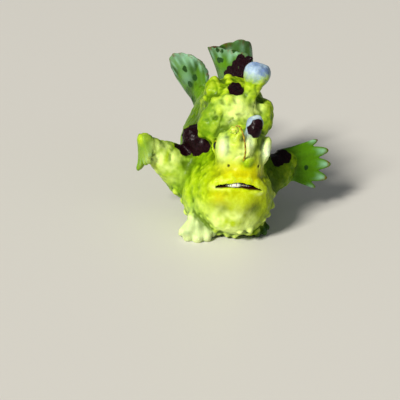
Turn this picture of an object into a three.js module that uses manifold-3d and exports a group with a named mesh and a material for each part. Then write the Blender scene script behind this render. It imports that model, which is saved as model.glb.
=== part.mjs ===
// A warty frogfish resting on its belly, life size, in the pose it keeps on a reef.
// Millimetres, +Z up. The fish faces -Y and its left side is +X.
// The origin is on the small flat on which its belly rests, below the shoulders.
// The body is one smooth field of swellings. Each piece is a three.js shape whose points are
// moved out to that field or laid along a fin's rays, and thin cuts part the body into regions.
import * as THREE from "three";
import { mergeVertices } from "three/addons/utils/BufferGeometryUtils.js";
import Module from "manifold-3d";

const wasm = await Module();
wasm.setup();

// Driving dimensions. The shapes below are given for a fish of 68 mm from lip to tail root.
const standardLength = 68;
const unit = standardLength / 68;
const gap = 0.3; // mm, width of the thin cuts between pieces
const eyeRadius = 2.3;
const lureRadius = 1.35;
const filamentRadius = 0.4;
const faceLean = 1.3; // the snout and eyes lean this far to the fish's left

// The tail turns along an arc, up and towards the fish's right.
const bend = { start: 24, height: 17.5, radius: 28, most: degrees(44), lean: degrees(62) };

// Swellings of the body: middle, half-widths, tilt in degrees about X and Y, and how softly
// each one runs into those before it. A paired one is repeated on the other side of the fish.
const bodySwellings = {
  belly: { at: [0, 3, 9.2], half: [14.2, 19.5, 9.8] },
  trunk: { at: [0, 6, 17], half: [13.4, 20.5, 15], soft: 4 },
  back: { at: [0, 7, 25.5], half: [7.6, 18.5, 11.6], soft: 4 },
  rear: { at: [0, 21, 18], half: [8, 15.5, 14.6], soft: 6 },
  tailStem: { at: [0, 37, 17.5], half: [2.8, 11, 5.4], soft: 5 },
  jawSac: { at: [0.7, -16.2, 11.2], half: [11.3, 12.6, 11.4], soft: 5 },
  cheek: { at: [-4.2, -17.8, 13.8], half: [5.8, 7.6, 6.8], soft: 3 },
  muzzle: { at: [1, -19.2, 21.8], half: [6, 5.4, 4.4], soft: 2.5 },
  jowl: { at: [-8, -11.5, 9], half: [5.5, 7, 8], soft: 5 },
  shoulder: { at: [-10.8, -1.5, 24.3], half: [3.4, 4.6, 3.4], soft: 2.5 },
  snout: { at: [faceLean, -16.5, 25], half: [7.2, 6.8, 9], soft: 3 },
  upperLip: { at: [0, -23.4, 19.9], half: [6.8, 3.2, 1.5], tilt: [-12, 0], soft: 2.4 },
  lowerLip: { at: [0, -23.6, 17.3], half: [6.6, 3.2, 1.4], tilt: [-12, 0], soft: 2.4 },
  eyeRidge: { at: [5.6, -16.6, 27], half: [2, 3.8, 3.8], soft: 1.2, paired: true, lean: faceLean },
};
const crownSwellings = {
  crown: { at: [0.6, -1.5, 32.6], half: [9.8, 12.4, 10.3], tilt: [-6, 0] },
  browLeft: { at: [7.5, -8.5, 32.5], half: [3.6, 4.6, 6.6], tilt: [-20, 18], soft: 2.5 },
  browRight: { at: [-5.7, -8.5, 32.5], half: [3.4, 4.6, 6.6], tilt: [-20, 8], soft: 2.5 },
  forehead: { at: [-0.8, -9.6, 34.6], half: [6.4, 5, 7], tilt: [-8, 0], soft: 2.5 },
  crownKnoll: { at: [-5.9, -3.2, 39.4], half: [3, 4, 3.6], soft: 2 },
  browLobe: { at: [-7, -9.8, 31.4], half: [3.9, 3.8, 4.8], tilt: [0, 14], soft: 1.6 },
};

// Limbs and spines: stations along the middle line, each with its radius.
const limbs = {
  pectoral_arm_right: {
    stations: [[-12, -1, 13, 8], [-18.5, -3, 17.4, 4.9], [-23.4, -5.5, 21.8, 2.6], [-26.1, -6.6, 24.6, 1.9]],
    soft: 2,
  },
  pectoral_arm_left: { stations: [[12, -1, 11.4, 7], [16, 0, 13.4, 5], [18.6, 1.2, 16, 3.6]], soft: 2 },
  pelvic_stalk_right: { stations: [[-7.6, -11.5, 6.6, 3.4], [-10.6, -16.8, 4, 1.9]], soft: 1 },
  pelvic_stalk_left: { stations: [[6, -11, 5, 3], [7.5, -15, 3.6, 2.2]], soft: 1 },
  second_dorsal_spine: { stations: [[2.6, -21.8, 25.5, 1.9], [2.6, -22, 30, 1.75], [3.8, -21, 35.8, 2.4]], soft: 1.5 },
  third_dorsal_spine: { stations: [[3, -8, 35, 2.6], [3.7, -9.8, 40.5, 2], [4.8, -10, 45, 2.8]], soft: 1.5 },
};
const knob = { at: [5.1, -9.5, 47.2], half: [3.95, 3.8, 3.2], tilt: [0, 12], soft: 1.2 };

// Fins: rays fan out from a root. curl lifts the tip, cup lifts both edges, fringe is how far
// the ray tips stand out of the membrane, wave swings the sheet from side to side, lobe lengthens
// some of the rays, and skew leans the last ones over.
const fins = {
  caudal_fin: {
    root: [-0.2, 43, 17], along: [-0.21, 0.98, 0.3], across: [0.18, 0, 1], bent: true,
    length: 16.6, rootHalf: 3.5, spread: degrees(33), rays: 9, thick: 0.9, fringe: 0.4, round: 0.97, cup: 0.3, rows: 4,
    curl: -0.08, lobe: { longer: 0.07, at: -0.2, width: 0.36 },
  },
  dorsal_fin: {
    root: [0.8, 18, 30.5], along: [0, 0.45, 0.89], across: [0, 0.89, -0.45],
    length: 15.2, rootHalf: 16, spread: degrees(27), rays: 13, thick: 0.9, fringe: 0.5, round: 0.12, rows: 5,
    wave: { size: 5.8, turns: 1.2, shift: 0.25 }, lobe: { longer: 0.48, at: 0.47, width: 0.34 }, skew: 7,
  },
  anal_fin: {
    root: [0, 26, 9.5], along: [0, 0.75, -0.66], across: [0, 0.66, 0.75], bent: true,
    length: 10, rootHalf: 7, spread: degrees(26), rays: 7, thick: 0.9, fringe: 0.8, round: 0.5, rows: 5,
  },
  pectoral_fin_right: {
    root: [-25.8, -6.9, 24], along: [-0.03, -0.22, -0.96], across: [-0.4, 0.9, -0.1],
    length: 6.6, rootHalf: 1.9, spread: degrees(20), rays: 5, thick: 1.3, fringe: 1, round: 0.6, curl: 0.12, rows: 4,
    lobe: { longer: 0.75, at: 0.85, width: 0.32 },
  },
  pectoral_fin_left: {
    root: [18.8, 1.2, 15.8], along: [0.98, 0.05, -0.02], across: [0, 0.3, 0.95],
    length: 13.6, rootHalf: 4.4, spread: degrees(19), rays: 5, thick: 1.3, fringe: 4.2, round: 0.5, curl: -0.1, rows: 4,
  },
  pelvic_fin_right: {
    root: [-10.4, -17.6, 3.8], along: [0, -0.94, -0.3], across: [-0.97, 0, 0],
    length: 8.2, rootHalf: 1.8, spread: degrees(38), rays: 5, thick: 2.5, fringe: 0.5, round: 0.4, curl: 0.1, rows: 5,
  },
  pelvic_fin_left: {
    root: [7.4, -15.4, 3.6], along: [0.12, -0.8, -0.45], across: [0.97, 0.1, 0],
    length: 6, rootHalf: 2.2, spread: degrees(32), rays: 5, thick: 1.5, fringe: 1, round: 0.5, rows: 4,
  },
};

// The fishing filament rises from the snout, arches and carries the lure at its tip.
const filamentPath = [
  [0.9, -23.4, 24.6], [0.9, -25.6, 28.4], [0.1, -26.6, 32.4], [-1.2, -26.7, 35.8], [-2.4, -26.3, 36.6], [-3, -25.9, 35.2],
];
const eyeAt = { side: 5.5, forward: -14.2, height: 26.2 };

// Where the thin cuts lie: a point on each and the way it faces.
const cuts = {
  mouth: { at: [0, -25.5, 18.3], facing: [0, 0.57, 0.82] }, // the jaw lies below it
  throat: { at: [0, -7, 0], facing: [0, 1, 0.12] }, // the jaw lies in front of it
  neck: { at: [0, -7, 0], facing: [0, 1, -0.24] }, // the head lies in front of it
  tailRoot: { y: 33 }, // behind it lies the tail stem, square to the bent body
};
const parting = { at: [0.1, -25.5, 18.3], half: [6.8, 3, 0.6], tilt: -34.8 }; // the lips' narrow opening

const finishes = {
  skin: { color: 0xcfd822, roughness: 0.55 },
  fin: { color: 0x8dbb6a, roughness: 0.5 },
  paleTip: { color: 0xdfe3ea, roughness: 0.55 },
  filament: { color: 0x8a6a3a, roughness: 0.6 },
  lure: { color: 0xe8e2b0, roughness: 0.6 },
  eye: { color: 0x2a2410, roughness: 0.12 },
};

function degrees(angle) {
  return THREE.MathUtils.degToRad(angle);
}

// Distances: below zero inside a shape, above zero outside it.
function softMin(a, b, width) {
  if (!width) return Math.min(a, b);
  const share = THREE.MathUtils.clamp(0.5 + (0.5 * (b - a)) / width, 0, 1);
  return b + (a - b) * share - width * share * (1 - share);
}

function swellingDistance(point, { at, half, tilt = [0, 0] }) {
  const turn = new THREE.Euler(degrees(tilt[0]), degrees(tilt[1]), 0, "ZYX");
  const q = point.clone().sub(new THREE.Vector3(...at));
  q.applyQuaternion(new THREE.Quaternion().setFromEuler(turn).invert());
  const [a, b, c] = half;
  const level = Math.hypot(q.x / a, q.y / b, q.z / c);
  const slope = Math.hypot(q.x / a ** 2, q.y / b ** 2, q.z / c ** 2) + 1e-9;
  return (level * (level - 1)) / slope;
}

function swellingsDistance(point, swellings) {
  let distance = Infinity;
  for (const swelling of Object.values(swellings)) {
    const p = point.clone();
    p.x -= swelling.lean ?? 0;
    if (swelling.paired) p.x = Math.abs(p.x);
    distance = softMin(distance, swellingDistance(p, swelling), distance === Infinity ? 0 : swelling.soft);
  }
  return distance;
}

function limbDistance(point, { stations, soft }) {
  let distance = Infinity;
  for (let i = 1; i < stations.length; i++) {
    const [from, to] = [stations[i - 1], stations[i]];
    const start = new THREE.Vector3(from[0], from[1], from[2]);
    const run = new THREE.Vector3(to[0], to[1], to[2]).sub(start);
    const share = THREE.MathUtils.clamp(point.clone().sub(start).dot(run) / run.lengthSq(), 0, 1);
    const radius = THREE.MathUtils.lerp(from[3], to[3], share);
    const reach = point.distanceTo(start.addScaledVector(run, share)) - radius;
    distance = softMin(distance, reach, i > 1 ? soft : 0);
  }
  return distance;
}

// From the straight fish to the posed one: what lies behind the start of the bend is turned.
function pose(point) {
  const up = new THREE.Vector3(-Math.cos(bend.lean), 0, Math.sin(bend.lean));
  const side = new THREE.Vector3(Math.sin(bend.lean), 0, Math.cos(bend.lean));
  const p = point.clone().sub(new THREE.Vector3(0, bend.start, bend.height));
  if (p.y <= 0) return point;
  const lift = p.dot(up);
  const sideways = p.dot(side);
  const angle = Math.min(p.y / bend.radius, bend.most);
  const rest = p.y - bend.radius * angle;
  const back = (bend.radius - lift) * Math.sin(angle) + rest * Math.cos(angle);
  const rise = bend.radius - (bend.radius - lift) * Math.cos(angle) + rest * Math.sin(angle);
  return new THREE.Vector3(0, bend.start + back, bend.height).addScaledVector(up, rise).addScaledVector(side, sideways);
}

// A solid from a three.js geometry: seams merged, slivers dropped and each point moved by place.
function solid(geometry, place = (point) => point) {
  geometry.deleteAttribute("normal");
  geometry.deleteAttribute("uv");
  const merged = mergeVertices(geometry, 1e-4);
  const spots = merged.getAttribute("position");
  const vertProperties = new Float32Array(spots.count * 3);
  for (let i = 0; i < spots.count; i++)
    place(new THREE.Vector3().fromBufferAttribute(spots, i)).toArray(vertProperties, 3 * i);
  const corners = merged.index.array;
  const triVerts = [];
  for (let i = 0; i < corners.length; i += 3) {
    const [a, b, c] = [corners[i], corners[i + 1], corners[i + 2]];
    if (a !== b && b !== c && c !== a) triVerts.push(a, b, c);
  }
  const made = new wasm.Manifold(new wasm.Mesh({ numProp: 3, vertProperties, triVerts: new Uint32Array(triVerts) }));
  if (made.volume() > 0) return made;
  for (let i = 0; i < triVerts.length; i += 3) [triVerts[i], triVerts[i + 1]] = [triVerts[i + 1], triVerts[i]];
  return new wasm.Manifold(new wasm.Mesh({ numProp: 3, vertProperties, triVerts: new Uint32Array(triVerts) }));
}

// How far the surface of a field lies from a point inside it, along a direction.
function reachOf(field, from, direction) {
  const step = 0.5;
  let far = step;
  const at = (distance) => field(from.clone().addScaledVector(direction, distance));
  while (at(far) < 0) far += step;
  let near = far - step;
  for (let i = 0; i < 14; i++) {
    const middle = (near + far) / 2;
    if (at(middle) < 0) near = middle;
    else far = middle;
  }
  return (near + far) / 2;
}

// A capsule along a line inside a field, its skin moved out until it lies on the field's surface.
function wrapped(field, from, to, { caps, around, along }, place = (point) => point) {
  const start = new THREE.Vector3(...from);
  const run = new THREE.Vector3(...to).sub(start);
  const length = run.length();
  const heading = run.clone().normalize();
  const capsule = new THREE.CapsuleGeometry(1, length, caps, around, along);
  capsule.applyQuaternion(new THREE.Quaternion().setFromUnitVectors(new THREE.Vector3(0, 1, 0), heading));
  capsule.translate(...start.clone().addScaledVector(run, 0.5).toArray());
  return solid(capsule, (point) => {
    const share = THREE.MathUtils.clamp(point.clone().sub(start).dot(heading), 0, length);
    const foot = start.clone().addScaledVector(heading, share);
    const direction = point.clone().sub(foot).normalize();
    return place(foot.clone().addScaledVector(direction, reachOf(field, foot, direction)));
  });
}

// A fin: a box of many segments, whose width becomes the fan of rays and whose height their length.
function finSolid(fin) {
  const { length, rootHalf, spread, rays, thick, fringe, round, rows } = fin;
  const { curl = 0, cup = 0, skew = 0, wave = { size: 0, turns: 1, shift: 0 } } = fin;
  const { lobe = { longer: 0, at: 0, width: 1 } } = fin;
  const along = new THREE.Vector3(...fin.along).normalize();
  const across = new THREE.Vector3(...fin.across);
  across.addScaledVector(along, -across.dot(along)).normalize();
  const normal = along.clone().cross(across);
  const apex = rootHalf / Math.tan(spread);
  const box = new THREE.BoxGeometry(2, 1, 1, 2 * (rays - 1), rows, 1);
  return solid(box, ({ x: turn, y, z }) => {
    const onRay = 0.5 + 0.5 * Math.cos(Math.PI * (turn + 1) * (rays - 1));
    const longer = lobe.longer * Math.exp(-(((turn - lobe.at) / lobe.width) ** 2));
    const arc = 1 + longer - round * (1 - Math.sqrt(1 - (0.92 * turn) ** 2));
    const reach = (y + 0.5) * (arc + (fringe * (onRay ** 0.5 - 0.6)) / length);
    const share = Math.min(reach, 1.1);
    const leaning = Math.max(turn, 0) * skew;
    const phase = Math.PI * wave.turns * (turn + wave.shift);
    const swing = wave.size * share ** 1.3;
    const bow = curl * share ** 2 * length + cup * turn ** 2 * length * share;
    const lift = bow + swing * Math.cos(phase) - leaning * share;
    const radius = apex + reach * length;
    const turned = swing * Math.PI * wave.turns * Math.sin(phase) - 2 * cup * turn * length * share;
    const sideSlope = (turned + Math.sign(leaning) * skew * share) / (radius * spread);
    const bowSlope = 2 * curl * share + cup * turn ** 2;
    const endSlope = bowSlope + ((1.3 * wave.size) / length) * Math.cos(phase) - leaning / length;
    const slope = Math.sqrt(1 + sideSlope ** 2 + endSlope ** 2);
    const half = 0.5 * thick * (1 + 0.9 * Math.max(1 - share, 0) ** 1.5) * (0.72 + 0.5 * onRay) * slope;
    const angle = turn * spread;
    const point = new THREE.Vector3(...fin.root)
      .addScaledVector(along, radius * Math.cos(angle) - apex)
      .addScaledVector(across, radius * Math.sin(angle))
      .addScaledVector(normal, lift + 2 * z * half);
    return fin.bent ? pose(point) : point;
  });
}

// All that lies on the side of a plane that faces away from its arrow, drawn back by half the gap.
function before(at, facing, back = gap / 2) {
  const size = 300;
  const arrow = new THREE.Vector3(...facing).normalize();
  const block = new THREE.BoxGeometry(size, size, size);
  block.applyQuaternion(new THREE.Quaternion().setFromUnitVectors(new THREE.Vector3(0, 0, 1), arrow));
  const middle = new THREE.Vector3(...at).addScaledVector(arrow, -size / 2 - back);
  return solid(block.translate(...middle.toArray()));
}

function behind(at, facing, back = gap / 2) {
  return before(at, facing.map((value) => -value), back);
}

// The body and its regions. The wider body clears room round the pieces that grow from it.
const bodyMesh = { caps: 9, around: 38, along: 15 };
const bodyLine = [[0, -10, 17], [0, 31, 17.5]];
const crownMesh = { caps: 6, around: 20, along: 4 };
const crownLine = [[0.6, -6, 33], [0.6, 3, 33]];
const aboveFloor = behind([0, 0, 0], [0, 0, 1], 0);
const body = bodyGrownBy(0).intersect(aboveFloor);
const bodyRoom = bodyGrownBy(gap);

function bodyGrownBy(grow) {
  const trunkAndFace = wrapped((p) => swellingsDistance(p, bodySwellings) - grow, ...bodyLine, bodyMesh, pose);
  const crown = wrapped((p) => swellingsDistance(p, crownSwellings) - grow, ...crownLine, crownMesh);
  return trunkAndFace.add(crown);
}

const tailSquare = pose(new THREE.Vector3(0, cuts.tailRoot.y, bend.height));
const tailFacing = pose(new THREE.Vector3(0, cuts.tailRoot.y + 0.01, bend.height)).sub(tailSquare).normalize();
const tailCut = [tailSquare.toArray(), tailFacing.toArray()];
const neckCut = [cuts.neck.at, cuts.neck.facing];
const mouthCut = [cuts.mouth.at, cuts.mouth.facing];
const throatCut = [cuts.throat.at, cuts.throat.facing];
const jawRoom = before(...mouthCut, -gap / 2).intersect(before(...throatCut, -gap / 2));

function eyeball(side, radius) {
  const ball = new THREE.SphereGeometry(radius, 12, 8);
  ball.rotateZ(Math.PI / 2);
  return solid(ball.translate(faceLean + side * eyeAt.side, eyeAt.forward, eyeAt.height));
}

function limb(name, grow = 0, mesh = { caps: 4, around: 14, along: 5 }) {
  const { stations } = limbs[name];
  const [first, last] = [stations[0], stations[stations.length - 1]];
  const field = (point) => limbDistance(point, limbs[name]) - grow;
  return wrapped(field, first.slice(0, 3), last.slice(0, 3), mesh);
}

function thirdSpine() {
  const { stations } = limbs.third_dorsal_spine;
  const field = (point) =>
    softMin(limbDistance(point, limbs.third_dorsal_spine), swellingDistance(point, knob), knob.soft);
  return wrapped(field, stations[0].slice(0, 3), knob.at, { caps: 5, around: 14, along: 6 });
}

function filament() {
  const path = new THREE.CatmullRomCurve3(filamentPath.map((spot) => new THREE.Vector3(...spot)));
  const round = new THREE.Shape().absarc(0, 0, filamentRadius, 0, 2 * Math.PI);
  return solid(new THREE.ExtrudeGeometry(round, { steps: 14, curveSegments: 3, extrudePath: path }));
}

// The lure is a small ball with blunt lobes.
function lure(grow = 0) {
  const ball = new THREE.SphereGeometry(1, 10, 8);
  const middle = new THREE.Vector3(...filamentPath[filamentPath.length - 1]);
  return solid(ball, (point) => {
    const lobes = 1 + 0.12 * Math.sin(5 * Math.atan2(point.z, point.x)) * Math.sin(3 * point.y);
    return middle.clone().addScaledVector(point, lureRadius * lobes + grow);
  });
}

const lens = new THREE.SphereGeometry(1, 12, 4).scale(...parting.half).rotateX(degrees(parting.tilt));
const lipOpening = solid(lens.translate(...parting.at));
const eyeSockets = eyeball(1, eyeRadius + gap).add(eyeball(-1, eyeRadius + gap));
const face = body.intersect(before(...neckCut)).subtract(lipOpening);
const pieces = {
  head: [face.subtract(jawRoom).subtract(eyeSockets), "skin"],
  lower_jaw: [face.intersect(before(...mouthCut)).intersect(before(...throatCut)), "skin"],
  trunk: [body.intersect(behind(...neckCut)).intersect(before(...tailCut)), "skin"],
  tail_stem: [body.intersect(behind(...tailCut)), "skin"],
  eye_left: [eyeball(1, eyeRadius), "eye"],
  eye_right: [eyeball(-1, eyeRadius), "eye"],
  second_dorsal_spine: [limb("second_dorsal_spine", 0, { caps: 4, around: 12, along: 4 }).subtract(bodyRoom), "paleTip"],
  third_dorsal_spine: [thirdSpine().subtract(bodyRoom), "paleTip"],
  filament: [filament().subtract(bodyRoom).subtract(lure(gap)), "filament"],
  lure: [lure(), "lure"],
  caudal_fin: [finSolid(fins.caudal_fin).subtract(bodyRoom), "fin"],
  dorsal_fin: [finSolid(fins.dorsal_fin).subtract(bodyRoom), "fin"],
  anal_fin: [finSolid(fins.anal_fin).subtract(bodyRoom).intersect(aboveFloor), "fin"],
};
for (const side of ["left", "right"]) {
  const arm = "pectoral_arm_" + side;
  const hand = "pectoral_fin_" + side;
  const foot = "pelvic_fin_" + side;
  pieces[arm] = [limb(arm).subtract(bodyRoom), "skin"];
  pieces[hand] = [finSolid(fins[hand]).subtract(limb(arm, gap)).subtract(bodyRoom), "fin"];
  const stalk = limb("pelvic_stalk_" + side, 0, { caps: 3, around: 10, along: 3 });
  pieces[foot] = [stalk.add(finSolid(fins[foot])).subtract(bodyRoom).intersect(aboveFloor), "fin"];
}

const fish = new THREE.Group();
fish.scale.setScalar(unit);
for (const [name, [shape, finish]] of Object.entries(pieces)) {
  const { numProp, vertProperties, triVerts } = shape.getMesh();
  const spots = new Float32Array((vertProperties.length / numProp) * 3);
  for (let i = 0; i < spots.length / 3; i++) spots.set(vertProperties.subarray(i * numProp, i * numProp + 3), 3 * i);
  const geometry = new THREE.BufferGeometry();
  geometry.setAttribute("position", new THREE.BufferAttribute(spots, 3));
  geometry.setIndex(new THREE.BufferAttribute(triVerts, 1));
  geometry.computeVertexNormals();
  const mesh = new THREE.Mesh(geometry, new THREE.MeshStandardMaterial({ ...finishes[finish], metalness: 0 }));
  mesh.name = name;
  fish.add(mesh);
}
export default fish;
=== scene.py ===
"""A warty frogfish resting on its belly: skin, eyes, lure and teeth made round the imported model."""
import itertools
import math

import bpy
import numpy as np
from mathutils import Matrix, Vector


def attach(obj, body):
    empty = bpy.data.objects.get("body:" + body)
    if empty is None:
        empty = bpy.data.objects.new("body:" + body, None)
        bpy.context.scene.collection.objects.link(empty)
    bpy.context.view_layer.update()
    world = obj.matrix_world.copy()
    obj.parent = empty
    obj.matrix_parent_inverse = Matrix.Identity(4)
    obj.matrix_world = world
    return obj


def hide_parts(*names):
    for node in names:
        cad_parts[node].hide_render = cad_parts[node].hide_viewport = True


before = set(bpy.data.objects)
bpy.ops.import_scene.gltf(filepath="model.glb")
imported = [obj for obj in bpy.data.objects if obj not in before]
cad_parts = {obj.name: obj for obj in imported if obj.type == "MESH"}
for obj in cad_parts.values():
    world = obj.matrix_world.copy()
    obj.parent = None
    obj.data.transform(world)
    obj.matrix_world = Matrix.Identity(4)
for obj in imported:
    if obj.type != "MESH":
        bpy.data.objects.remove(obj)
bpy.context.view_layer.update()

MM = 0.001  # lengths in this script are in millimetres until a mesh is made
GRID = 0.34  # spacing of the grid on which the skin is found
CHUNK = 400000  # points whose distance is found at once, to spare memory
GRAIN = 0.42  # skin grain: really about 0.1 mm, drawn coarser so that it can be seen
FACE_LEAN = 1.3  # the snout and eyes lean this far to the fish's left
EYE_RADIUS = 2.3
EYE_AT = (5.5, -14.2, 26.2)  # from the leaning middle line: to the side, forward, up
EYE_AXIS = (0.94, -0.31, 0.13)  # the way an eye looks

# The tail turns along an arc, up and towards the fish's right, as in the solids.
BEND_START, BEND_HEIGHT, BEND_RADIUS = 24.0, 17.5, 28.0
BEND_MOST, BEND_LEAN = math.radians(44), math.radians(62)
BEND_UP = np.array([-math.cos(BEND_LEAN), 0, math.sin(BEND_LEAN)])
BEND_SIDE = np.array([math.sin(BEND_LEAN), 0, math.cos(BEND_LEAN)])
BEND_FROM = np.array([0, BEND_START, BEND_HEIGHT])


# Distances in mm: below zero inside a shape, above zero outside it

def soft_min(a, b, width):
    """The nearer of two shapes, joined by a rounding about as wide as given."""
    share = np.clip(0.5 + 0.5 * (b - a) / width, 0, 1)
    return b + (a - b) * share - width * share * (1 - share)


def soft_max(a, b, width):
    return -soft_min(-a, -b, width)


def smooth(value, low, high):
    """0 at low, 1 at high, with a soft start and end."""
    t = np.clip((value - low) / (high - low), 0, 1)
    return t * t * (3 - 2 * t)


def swelling(p, at, half, tilt=(0, 0)):
    """An egg shape with three half sizes, tilted by degrees about x and y."""
    turn = Matrix.Rotation(math.radians(tilt[1]), 3, "Y") @ Matrix.Rotation(math.radians(tilt[0]), 3, "X")
    q = (p - np.array(at, np.float32)) @ np.array(turn, np.float32)
    half = np.array(half, np.float32)
    level = np.sqrt(((q / half) ** 2).sum(-1))
    slope = np.sqrt(((q / half ** 2) ** 2).sum(-1)) + 1e-9
    return level * (level - 1) / slope


def limb(p, stations, soft=1.0):
    """A rounded rod through stations of x, y, z and radius."""
    found = None
    for start, end in zip(stations, stations[1:]):
        a = np.array(start[:3], np.float32)
        run = np.array(end[:3], np.float32) - a
        share = np.clip((p - a) @ run / (run @ run), 0, 1)
        away = p - a - share[..., None] * run
        rod = np.sqrt((away ** 2).sum(-1)) - (start[3] + (end[3] - start[3]) * share)
        found = rod if found is None else soft_min(found, rod, soft)
    return found


def paired(p, lean=0.0):
    """The same point on the fish's left, measured from a middle line that leans."""
    q = p.copy()
    q[..., 0] = np.abs(q[..., 0] - lean)
    return q


def straightened(p):
    """Where a point of the posed fish lies on the straight one."""
    q = p - BEND_FROM
    along, rise, side = q[..., 1], q @ BEND_UP, q @ BEND_SIDE
    angle = np.clip(np.arctan2(along, BEND_RADIUS - rise), 0, BEND_MOST)
    inner = rise - BEND_RADIUS
    rest = along * np.cos(angle) + inner * np.sin(angle)
    out = along * np.sin(angle) - inner * np.cos(angle)
    straight_along = np.where(along < 0, along, BEND_RADIUS * angle + rest)
    straight_rise = np.where(along < 0, rise, BEND_RADIUS - out)
    moved = BEND_FROM + straight_rise[..., None] * BEND_UP + side[..., None] * BEND_SIDE
    moved[..., 1] += straight_along
    return moved.astype(np.float32)


# Fins, as in the solids: rays fan out from a root, "spread" degrees to either side of the way "along".
# round_tip, fringe and lobe shape the edge: how round it is, how far rays stand past it, and a longer part.
# rib thickens the rays; curl, cup, wave and skew bend the sheet; a bent fin turns with the tail.
FINS = {
    "caudal_fin": dict(
        root=(-0.2, 43, 17.0), along=(-0.21, 0.98, 0.3), across=(0.18, 0, 1), bent=True,
        length=16.6, root_half=3.5, spread=33, rays=9, thick=0.85, rib=0.12, fringe=0.4, round_tip=0.97,
        cup=0.3, curl=-0.08, lobe=(0.07, -0.2, 0.36)),
    "dorsal_fin": dict(
        root=(0.8, 18, 30.5), along=(0, 0.45, 0.89), across=(0, 0.89, -0.45),
        length=15.2, root_half=16, spread=27, rays=13, thick=0.85, rib=0.12, fringe=0.5, round_tip=0.12,
        wave=(5.8, 1.2, 0.25), lobe=(0.48, 0.47, 0.34), skew=7),
    "anal_fin": dict(
        root=(0, 26, 9.5), along=(0, 0.75, -0.66), across=(0, 0.66, 0.75), bent=True,
        length=10, root_half=7, spread=26, rays=7, thick=0.85, fringe=0.8, round_tip=0.5),
    "pectoral_fin_right": dict(
        root=(-25.8, -6.9, 24.0), along=(-0.03, -0.22, -0.96), across=(-0.4, 0.9, -0.1),
        length=6.6, root_half=1.9, spread=20, rays=5, thick=1.3, rib=0.4, fringe=1.0, round_tip=0.6,
        curl=0.12, lobe=(0.75, 0.85, 0.32)),
    "pectoral_fin_left": dict(
        root=(18.8, 1.2, 15.8), along=(0.98, 0.05, -0.02), across=(0, 0.3, 0.95),
        length=13.6, root_half=4.4, spread=19, rays=5, thick=1.3, rib=0.7, fringe=4.2, round_tip=0.5,
        curl=-0.1),
    "pelvic_fin_right": dict(
        root=(-10.4, -17.6, 3.8), along=(0, -0.94, -0.3), across=(-0.97, 0, 0),
        length=8.4, root_half=1.8, spread=38, rays=5, thick=2.5, rib=0.36, fringe=0.9, round_tip=0.4,
        curl=0.1),
    "pelvic_fin_left": dict(
        root=(7.4, -15.4, 3.6), along=(0.12, -0.8, -0.45), across=(0.97, 0.1, 0),
        length=6, root_half=2.2, spread=32, rays=5, thick=1.4, fringe=1, round_tip=0.5),
}


def fin(p, root, along, across, length, root_half, spread, rays, thick, fringe, round_tip,
        rib=1.0, curl=0.0, cup=0.0, wave=(0.0, 1.0, 0.0), lobe=(0.0, 0.0, 1.0), skew=0.0, bent=False):
    """Distance to a fin, how far out along its rays a point lies, and how near it is to a ray."""
    along = np.array(along, float)
    along /= np.linalg.norm(along)
    across = np.array(across, float)
    across -= along * (across @ along)
    across /= np.linalg.norm(across)
    normal = np.cross(along, across)
    q = p - np.array(root, np.float32)
    x, y, z = q @ along, q @ across, q @ normal
    spread = math.radians(spread)
    apex = root_half / math.tan(spread)
    radius = np.hypot(x + apex, y)
    angle = np.arctan2(y, x + apex)
    turn = np.clip(angle / spread, -1, 1)
    out = (radius - apex) / length
    share = np.clip(out, 0, 1.1)
    on_ray = 0.5 + 0.5 * np.cos(np.pi * (turn + 1) * (rays - 1))
    longer = lobe[0] * np.exp(-((turn - lobe[1]) / lobe[2]) ** 2)
    reach = length * (1 + longer - round_tip * (1 - np.sqrt(1 - (0.92 * turn) ** 2)))
    reach += fringe * (on_ray ** 0.5 - 0.6)
    size, turns, shift = wave
    phase = np.pi * turns * (turn + shift)
    swing = size * share ** 1.3
    lift = curl * share ** 2 * length + cup * turn ** 2 * length * share + swing * np.cos(phase)
    lift = lift - skew * np.maximum(turn, 0) * share
    turned = swing * np.pi * turns * np.sin(phase) + skew * (turn > 0) * share
    turned -= 2 * cup * turn * length * share
    side_slope = turned / (np.maximum(radius, 1) * spread)
    end_slope = (2 * curl * share + cup * turn ** 2 + 1.3 * size / length * share ** 0.3 * np.cos(phase)
                 - skew / length * np.maximum(turn, 0))
    slope = np.sqrt(1 + side_slope ** 2 + end_slope ** 2)
    half = 0.5 * thick * (1 + 0.9 * np.clip(1 - share, 0, 1) ** 1.5)
    half *= 1 + rib * np.clip(share, 0.15, 1) * (0.62 * on_ray ** 1.5 - 0.34)
    sheet = np.abs(z - lift) / slope - half
    rim = radius - apex - reach
    side = (np.abs(angle) - spread) * radius
    solid = soft_max(sheet, soft_max(rim, side, 0.6), max(0.4, 0.5 * thick))
    return np.maximum(solid, apex - radius - 1.5), (radius - apex) / reach, on_ray


# Swellings: middle, half sizes, how softly each joins those before it, and its tilt
TRUNK = [  # alike on both sides of the straight fish
    ((0, 3, 9.2), (14.2, 19.5, 9.8), 0),  # belly
    ((0, 6, 17), (13.4, 20.5, 15), 4),  # flanks
    ((0, 7, 25.5), (7.6, 18.5, 11.6), 4),  # back
    ((0, 21, 18), (8, 15.5, 14.6), 6),  # rear of the trunk
    ((0, 37, 17.5), (2.8, 11, 5.4), 5),  # stem of the tail
]
HEAD = [
    ((0.7, -16.2, 11.2), (11.3, 12.6, 11.4), 5),  # chin and throat
    ((-8.0, -11.5, 9.0), (5.5, 7.0, 8.0), 5),  # right of the throat
    ((-10.8, -1.5, 24.3), (3.4, 4.6, 3.4), 2.5),  # right shoulder
    ((FACE_LEAN, -16.5, 25), (7.2, 6.8, 9), 3),  # face
    ((-4.2, -17.8, 13.8), (5.8, 7.6, 6.8), 3),  # right of the jaw
    ((1.0, -19.2, 21.8), (6.0, 5.4, 4.4), 2.5),  # snout
]
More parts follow.
